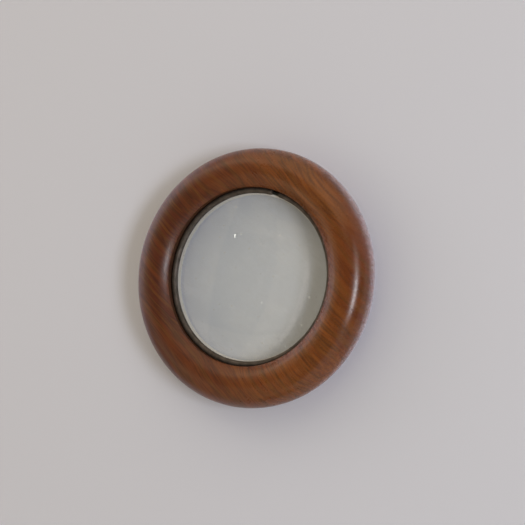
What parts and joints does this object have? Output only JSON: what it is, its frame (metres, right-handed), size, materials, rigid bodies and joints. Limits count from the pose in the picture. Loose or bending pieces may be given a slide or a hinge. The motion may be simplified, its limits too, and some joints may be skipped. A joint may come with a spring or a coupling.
{
  "type": "hand lens",
  "caption": "Hand lens with no handle: biconvex glass held by a split wire in a turned wooden ring of round section, for looking closely at specimens, maps and print.",
  "frame": {"origin": "middle of the flat foot at the back, on the optical axis", "axes": "+Z is the optical axis, from the foot at the back towards the front that the eye looks into; the gap of the wire ring lies 72 degrees from +X towards +Y"},
  "size_m": [0.105, 0.105, 0.0181],
  "materials": {
    "turned_wood": "reddish-brown hardwood, oiled and hand-polished to a soft semi-gloss",
    "dark_fibre": "matt dark fibre washer",
    "optical_glass": "clear polished glass with a ground rim",
    "blackened_wire": "dull blackened spring wire"
  },
  "bodies": {
    "root": {"wood_ring": "turned_wood", "seat_washer": "dark_fibre", "lens": "optical_glass", "retaining_ring": "blackened_wire"}
  },
  "joints": []
}
